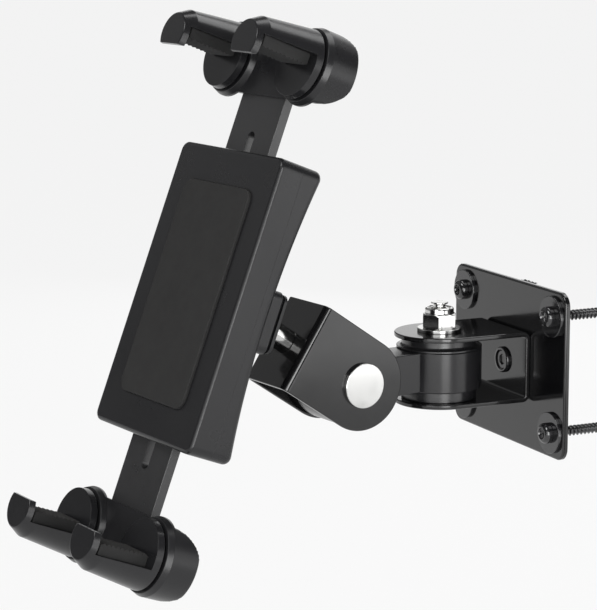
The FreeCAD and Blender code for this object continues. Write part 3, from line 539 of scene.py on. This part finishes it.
# Two seats of smooth grey plastic hold the ball in the housing's square socket: a cup in front
# of it, and a ring behind it with a flared mouth that leaves room for the stud.
seat_grey = finish_of("smooth_grey_plastic", (0.09, 0.09, 0.095), dust=0.05, shine=0.45, grain=900.0,
                      relief=0.15, depth=0.00002, smooth=0.35, dull=0.45)
turn_axis = np.array(joints["ball_turn"]["axis"])
roll_axis = np.array(joints["ball_roll"]["axis"])
ball_depth = 52
holder = frame_at(ball_point + roll_axis * (ball_depth / 1000), np.cross(-roll_axis, turn_axis), -roll_axis,
                  turn_axis)
behind = holder @ outwards
frame["nodes"]["ball_front_seat"].data.materials.clear()
frame["nodes"]["ball_front_seat"].data.materials.append(seat_grey)
level = np.linspace(1.0, 5.3, 10)
bore = np.stack([np.sqrt(11.04 ** 2 - level ** 2), level], -1)
seat = turned(np.vstack([bore, [(11.65, 8.93), (12.6, 8.93), (12.63, 8.8), (12.63, 1.0)]]), 128, loop=True)
made("grey_ball_ring", put(seat, behind @ at(z=ball_depth)), "ball_rear", ["ball_rear_seat"],
     seat_grey)

# The holder's front shell is a moulded tray of satin black plastic. A soft black pad lies in
# a shallow recess in its face, and its two ends are open where the flat arms slide out.
satin_black = finish_of("satin_black_plastic", (0.011, 0.011, 0.012), dust=0.015, shine=0.38, grain=2200.0,
                        relief=0.25, depth=0.00003, smooth=0.27, dull=0.34, patches=24.0)
soft_black = finish_of("soft_black_rubber", (0.014, 0.014, 0.014), dust=0.12, shine=0.3, grain=1300.0,
                       relief=0.5, depth=0.00005, smooth=0.7, dull=0.85)
housing_width, housing_length, housing_corner, housing_rise = 96, 149, 5, 1.7
middle = holder @ at(z=housing_rise)


def box(x, y, z):
    """A box between the low and high values of each axis: two four-cornered loops."""
    corners = np.array([(0, 0), (1, 0), (1, 1), (0, 1)])
    loop = np.stack([np.array(x)[corners[:, 0]], np.array(y)[corners[:, 1]]], -1)
    grid = np.stack([np.column_stack([loop, np.full(4, float(level))]) for level in z])
    return skin(grid, ends=True)


tray = slab(rectangle(housing_width, housing_length, housing_corner, 6), edge_round(2.0, 13.5, -1)[::-1]
            + [(0.0, 26.9), (0.06, 26.97), (3.0, 26.97), (3.0, 16.5)])
recess = slab(rectangle(62.4, 112.4, 6), [(0.0, 12.0), (0.0, 14.5)])
slots = [box((-20.2, 20.2), (21.6, 28.0), level) for level in ((-80.0, -70.0), (70.0, 80.0))]
made("front_holder_shell", put(tray, middle), "holder", ["front_shell"], satin_black,
     cutter=put(joined([recess] + slots), middle), bevel=0.25)
pad = slab(rectangle(62, 112, 6), edge_round(0.6, 12.0, -1)[::-1] + [(0.0, 14.45)])
made("soft_holder_pad", put(pad, middle), "holder", ["front_pad"], soft_black)

# The rear shell closes the tray. Its back is bowed in along its length, with a large radius
# at the rim, and a square socket with a chamfer stands on it for the ball.


def bow(inset):
    """Depth of the back along the holder's length: a circle through the least depth in the
    middle, and deeper by the bow at both ends, less an inset."""
    least, bowed = 34.2, 5.8
    radius = ((housing_length / 2) ** 2 + bowed ** 2) / (2 * bowed)
    return lambda z: least + radius - np.sqrt(radius ** 2 - z ** 2) - inset


def on_back(x, z, depth=0.0):
    """A place on the bowed back that faces outwards, sunk into it by a depth."""
    return behind @ at(x, -z, bow(0)(z - housing_rise) - depth)


rim = 4.3
cover_round = [(rim * (1 - np.cos(angle)), bow(rim - rim * np.sin(angle)))
               for angle in np.radians(np.linspace(0, 90, 10))]
cover = slab(rectangle(housing_width, housing_length, housing_corner, 40),
             [(3.0, bow(3.0)), (3.0, 27.0), (0.06, 27.0), (0.0, 27.07)] + cover_round)
clamp_z = 58
housing_screws = [(x, z) for x in (-36, 36) for z in (-60.3, 63.7)]
clamp_screws = [(0, z) for z in (-clamp_z, clamp_z)]
counterbores = [put(turned([(0, -2.9), (radius, -2.9), (radius, 4), (0, 4)], 48), on_back(x, z))
                for places, radius in ((housing_screws, 3.5), (clamp_screws, 5.3)) for x, z in places]
made("rear_holder_shell", put(cover, middle), "holder", ["rear_shell"], satin_black,
     cutter=joined(counterbores))
square = rectangle(32.8, 32.8, 4)


def whole(half, inset, count=144):
    """The whole of an outline at an inset, the right half and its mirror image, as points at
    even steps along it."""
    right = half(inset)
    loop = np.vstack([right, right[::-1] * (-1, 1), right[:1]])
    run = np.concatenate([[0], np.cumsum(np.linalg.norm(np.diff(loop, axis=0), axis=1))])
    steps = np.linspace(0, run[-1], count, endpoint=False)
    return np.stack([np.interp(steps, run, loop[:, k]) for k in (0, 1)], -1)


def circled(outline):
    """An outline's points drawn onto a circle of radius 1, each along its own ray."""
    return outline / np.linalg.norm(outline, axis=1, keepdims=True)


def stacked(levels, **closing):
    """The skin over outlines that stand one behind the other, each at its own depth."""
    return skin(np.stack([np.column_stack([outline[:, 0], np.full(len(outline), depth), outline[:, 1]])
                          for outline, depth in levels]), **closing)


inner = whole(square, 2.2)
mouth, socket_top = circled(inner) * 12.7, 61.0
socket = stacked([(whole(square, 0), 33.0), (whole(square, 0), 58.7), (whole(square, 0.06), 58.85),
                  (whole(square, 2.14), 60.93), (inner, socket_top), (mouth, socket_top), (mouth, 40.0)],
                 ends=True)
made("square_ball_socket", put(socket, holder), "holder", [], satin_black)

# A flat square retainer, moulded in the shells' black plastic, closes the socket over the rear
# seat with four countersunk screws. Larger screws from behind join the shells and clamp the arms.
plate_square, plate_low, plate_top = rectangle(31.04, 31.04, 4), 61.02, 63.0
loops = [(whole(plate_square, inset), depth)
         for inset, depth in ((0.0, plate_low), (0.0, 62.5), (0.15, 62.85), (0.5, plate_top))]
circle = circled(loops[-1][0])
loops += [(circle * 12.0, plate_top), (circle * 11.75, 62.9), (circle * 11.7, 62.6),
          (circle * 11.7, plate_low)]
retainer = stacked(loops, loop=True)
corners = [at(x, y, plate_top) for x in (-12.2, 12.2) for y in (-12.2, 12.2)]
sunk = turned([(0, -1.3), (1.55, -1.25), (2.8, 0), (2.8, 1.0), (0, 1.0)], 48)
made("ball_retainer_plate", put(retainer, holder), "holder", ["ball_retainer"], satin_black,
     cutter=joined([put(sunk, behind @ corner) for corner in corners]))


def flat_head(radius, length, head, height, flat, depth):
    """A countersunk screw: shank, cone, a narrow rim, and the hexagon socket in its flat face."""
    return socket_screw([(0, -length), (radius - 0.2, -length), (radius, -length + 0.3), (radius, -height),
                         (head, -0.25), (head, -0.1), (head - 0.1, -0.05)], -0.05, flat, depth, sides=48)


tiny = [put(flat_head(1.5, 9.0, 2.65, 1.2, 1.8, 0.8), behind @ corner) for corner in corners]
made("retainer_socket_screws", joined(tiny), "holder", ["retainer_screws"], black_oxide)


def cap_head(radius, head, length, flat):
    """A cap screw: shank, flat underside, upright head with a rounded rim, and its socket."""
    line = rounded([(0, -length), (radius, -length), (radius, -2.6), (head, -2.6), (head, 0),
                    (flat / 2 + 0.6, 0)], [0.2, 0.05, 0.2, 0.4])
    return socket_screw(line, 0.0, flat, 1.7, sides=64)


small = [put(cap_head(1.7, 3.2, 18.0, 2.5), on_back(x, z, 0.4)) for x, z in housing_screws]
made("housing_cap_screws", joined(small), "holder", ["housing_screws"], black_oxide)
large = [put(cap_head(3.0, 5.0, 21.0, 4.0), on_back(x, z, 0.4)) for x, z in clamp_screws]
made("arm_clamp_cap_screws", joined(large), "holder", ["arm_clamp_screws"], black_oxide)

# Each claw rides on a flat steel arm, painted satin black, with a long slot for its clamp
# screw. Two countersunk screws fix the arm in the moulded crossbar.
satin_paint = finish_of("satin_black_paint", (0.016, 0.016, 0.017), dust=0.04, shine=0.7, grain=1100.0,
                        relief=0.2, depth=0.00002, smooth=0.26, dull=0.36)
bar_inner, bar_back, finger_x, arm_screw_x, lobe_radius = 17.0, 35.2, 34.1, 11, 19.9
slot_width, slot_run = 6.6, 41.5


def claw_arm(reach):
    """The arm and its slot: a rounded bar from inside the housing to inside the crossbar, and a
    long round-ended slot along the clamp screw's travel."""
    low, high = housing_length / 2 - 42.0, reach - bar_inner + 27.0
    levels = edge_round(0.3, 21.8, -1, 4)[::-1] + edge_round(0.3, 26.8, 1, 4)
    body = slab(rectangle(40, high - low, 3), levels)
    slot = slab(rectangle(slot_width, slot_run + slot_width, 3.25), [(0.0, 20.0), (0.0, 29.0)])
    return put(body, at(z=(low + high) / 2)), put(slot, at(z=clamp_z + 5.75))


# The crossbar is one moulding: a bar with a round back, and a round lobe and a collar at each
# end for the fingers.


def drawn_in(depth, start, radius):
    """How far a rounded edge has drawn in: its radius, less the root of the radius squared minus
    the square of the depth past its start."""
    return radius - np.sqrt(np.maximum(radius ** 2 - np.maximum(depth - start, 0) ** 2, 0))


def crossbar():
    """Loops of points at rising depth. A loop runs out along the inner edge, round the lobe's
    circle and back along the outer edge, and each height is held between the two rounded
    edges' heights at that depth."""
    steps, back_radius = 18, 8
    out = np.linspace(0, finger_x, steps)
    lobe = arc(lobe_radius, -90, 90, 49) + (finger_x, 0)
    back = bar_back - back_radius + back_radius * np.sin(np.radians(np.linspace(12, 90, 9)))
    depth = np.concatenate([[20.0, 21.2, 24.0, 27.2], back])[:, None]
    top, bottom = lobe_radius - drawn_in(depth, 27.2, back_radius), drawn_in(depth, 21.2, 14) - bar_inner
    valley = np.maximum(18.1, np.sqrt(np.maximum(lobe_radius ** 2 - (out - finger_x) ** 2, 0)))[::-1]
    half_x = np.concatenate([out, lobe[1:-1, 0], out[::-1]])
    half_z = np.concatenate([np.full(steps, -40.0), lobe[1:-1, 1], valley])
    z = np.clip(half_z[None], bottom, top)
    x = half_x - drawn_in(depth, 34.0, 1.2) * (half_x > finger_x) * (half_x - finger_x) / lobe_radius
    loop_x = np.hstack([x, -x[:, ::-1]])
    loop_z = np.hstack([z, z[:, ::-1]])
    grid = np.stack([loop_x, np.broadcast_to(depth, loop_x.shape), loop_z], -1)
    return skin(grid, ends=True)


collar = turned(rounded([(0, -17.0), (18.7, -17.0), (lobe_radius, -20.0), (lobe_radius, -21.5), (0, -21.5)],
                        [0.35, 0.3, 0.1]), 128)

# Each finger is moulded in the link's grained black plastic: a cone with a flat-sided hook at
# its tip and a deep notch behind it, in which a ribbed rubber grip is glued.
cone = turned(rounded([(0, 19.93), (10.4, 19.93), (14.0, 14.0), (17.8, -15.9), (12.0, -15.95),
                       (12.0, -24.0), (0, -24.0)], [0.95, 1.0, 0.5, 0.05, 0.3]), 128)
step = np.array([(-21.0, -40.0), (12.0, -40.0), (12.0, 4.5), (-17.0, 4.5), (-17.0, -5.7), (-21.0, -5.7)])
notches = skin(np.stack([np.column_stack([np.full(6, x), step]) for x in (-40.0, 40.0)]), ends=True)


def grip():
    """A ribbed block: the toothed line of its ribs carried straight across the finger, its ends
    a little smaller so that they are rounded off."""
    teeth, pitch, front, back, valley, crest, floor = 10, 2.6, -15.4, 12.0, -0.7, -1.7, 4.45
    start = front + (27.4 - teeth * pitch) / 2 + np.arange(teeth) * pitch
    ribs = [point for y in start for point in ((y, valley), (y + pitch / 2, crest))]
    line = np.vstack([[(front, floor), (front, valley)], ribs, [(back, valley), (back, floor)]])
    middle_of = np.array([(-1.7, 1.5)])
    levels = [(-10.5, 0.985), (-10.2, 1.0), (10.2, 1.0), (10.5, 0.985)]
    grid = np.stack([np.column_stack([np.full(len(line), x), (line - middle_of) * size + middle_of])
                     for x, size in levels])
    return skin(grid, ends=True)


def claw(name, reach, turn):
    """One claw's pieces at its end of the holder: arm, crossbar, fingers, grips and screws."""
    place, root = holder @ turn, holder @ turn @ at(z=reach)
    body = name + "_claw"
    bar_shape, slot = claw_arm(reach)
    made(name + "_flat_arm", put(bar_shape, place), body, [name + "_arm"], satin_paint,
         cutter=put(slot, place))
    hole = turned([(0, -3.2), (2.6, -3.1), (5.6, -0.05), (5.6, 1), (0, 1)], 48)
    holes = [put(hole, root @ at(x, bar_back) @ outwards)
             for x in (-finger_x, -arm_screw_x, arm_screw_x, finger_x)]
    made(name + "_moulded_crossbar", put(crossbar(), root), body, [name + "_crossbar"],
         satin_black, cutter=joined(holes))
    collars = [put(collar, root @ at(x) @ facing) for x in (-finger_x, finger_x)]
    made(name + "_crossbar_collars", joined(collars), body, [], satin_black)
    for side, x in (("left", -finger_x), ("right", finger_x)):
        here, which = root @ at(x * turn[0, 0]), name + "_" + side
        made(which + "_tapered_finger", put(cone, here @ facing), body, [which + "_finger"],
             moulded_black, cutter=put(notches, here), bevel=0.35)
        made(which + "_ribbed_grip", put(grip(), here), body, [which + "_grip"], soft_black)
    for kind, x, length in (("finger", finger_x, 22.0), ("arm", arm_screw_x, 13.4)):
        screw = flat_head(2.5, length, 5.4, 3.0, 3.0, 2.1)
        screws = [put(screw, root @ at(side, bar_back) @ outwards) for side in (-x, x)]
        made(name + "_" + kind + "_sunk_screws", joined(screws), body, [name + "_" + kind + "_screws"],
             black_oxide)


claw("upper", 123.3, np.eye(4))
claw("lower", 125.1, np.diag([-1.0, 1.0, -1.0, 1.0]))

# The studio: a wide pale floor under the part, even light from all round, a sun, six soft
# panels of different strength, and the camera where the photograph was taken from.
floor_reach, floor_height = 30000, -320
floor_corners = [(x * floor_reach, y * floor_reach, floor_height)
                 for x, y in ((-1, -1), (1, -1), (1, 1), (-1, 1))]
floor_mesh = plain_mesh("pale_floor", (np.array(floor_corners, float), [[0, 1, 2, 3]]))
floor = bpy.data.objects.new("pale_floor", floor_mesh)
bpy.context.scene.collection.objects.link(floor)
pale = bpy.data.materials.new("pale_floor_paint")
pale.use_nodes = True
paint = pale.node_tree.nodes["Principled BSDF"]
paint.inputs["Base Color"].default_value = (0.8, 0.8, 0.8, 1)
paint.inputs["Roughness"].default_value = 0.9
seen = node(pale.node_tree, "ShaderNodeLightPath").outputs
direct = node(pale.node_tree, "ShaderNodeMath", {0: seen["Is Camera Ray"], 1: seen["Is Glossy Ray"]},
              operation="ADD")
either = node(pale.node_tree, "ShaderNodeMath", {0: direct.outputs[0], 1: seen["Is Transmission Ray"]},
              operation="ADD", use_clamp=True)
partly = node(pale.node_tree, "ShaderNodeMath", {0: either.outputs[0], 1: 0.88}, operation="MULTIPLY")
white = node(pale.node_tree, "ShaderNodeEmission", {"Color": (0.97, 0.97, 0.97, 1), "Strength": 1.0})
mixed = node(pale.node_tree, "ShaderNodeMixShader", {0: partly.outputs[0], 1: paint.outputs[0],
                                                     2: white.outputs[0]})
pale.node_tree.links.new(mixed.outputs[0], pale.node_tree.nodes["Material Output"].inputs["Surface"])
floor_mesh.materials.append(pale)
world = bpy.data.worlds.new("even_light")
bpy.context.scene.world = world
world.use_nodes = True
world.node_tree.nodes["Background"].inputs["Color"].default_value = (0.12, 0.12, 0.122, 1)
world.node_tree.nodes["Background"].inputs["Strength"].default_value = 1.0


def panel(name, place, target, width, height, power):
    """A soft rectangular lamp at a place, turned to face a target."""
    light = bpy.data.lights.new(name, "AREA")
    light.shape, light.size, light.size_y, light.energy = "RECTANGLE", width, height, power
    lamp = bpy.data.objects.new(name, light)
    bpy.context.scene.collection.objects.link(lamp)
    back = np.array(place, float) - target
    back /= np.linalg.norm(back)
    side = np.cross((0, 0, 1), back)
    side /= np.linalg.norm(side)
    turn = np.eye(4)
    turn[:3, :3] = np.stack([side, np.cross(back, side), back], -1)
    turn[:3, 3] = place
    lamp.matrix_world = Matrix(turn.tolist())
    lamp.visible_camera = False


sun = bpy.data.lights.new("soft_daylight", "SUN")
sun.energy, sun.angle = 1.3, np.radians(30)
daylight = bpy.data.objects.new("soft_daylight", sun)
bpy.context.scene.collection.objects.link(daylight)
daylight.rotation_euler = (np.radians(38), 0, np.radians(20))
panel("side_panel", (1.2, 0.98, -0.12), (0, -0.12, 0.05), 1.3, 1.3, 7.6)
panel("near_panel", (1.6, -0.3, 0.08), (0, -0.08, 0), 0.6, 1.1, 16)
panel("camera_panel", (1.35, -1.1, 0.2), (0, -0.08, 0), 1.3, 1.2, 11)
panel("back_panel", (-1.3, 1.15, 0.5), (0, -0.1, 0.05), 1.9, 1.4, 9)
panel("top_panel", (-0.3, 0.6, 1.5), (0, -0.1, 0.05), 1.1, 1.0, 11)
panel("front_panel", (-1.3, -1.0, 1.05), (0, -0.1, 0.05), 1.6, 1.5, 1.6)

lens = bpy.data.cameras.new("camera")
camera = bpy.data.objects.new("camera", lens)
bpy.context.scene.collection.objects.link(camera)
bpy.context.scene.camera = camera
focal_pixels, photo_width, sensor = 2315, 597, 36.0
lens.sensor_fit, lens.sensor_width, lens.lens = "HORIZONTAL", sensor, focal_pixels / photo_width * sensor
lens.clip_start, lens.clip_end = 0.05, 50
view = np.eye(4)
view[:3, :3] = np.stack([(0.41960, 0.90771, -0.0019), (-0.16043, 0.07621, 0.98410),
                         (0.89342, -0.41263, 0.17760)], -1)
view[:3, 3] = 1.06676, -0.62009, 0.25126
camera.matrix_world = Matrix(view.tolist())
bpy.context.scene.view_settings.view_transform = "Standard"
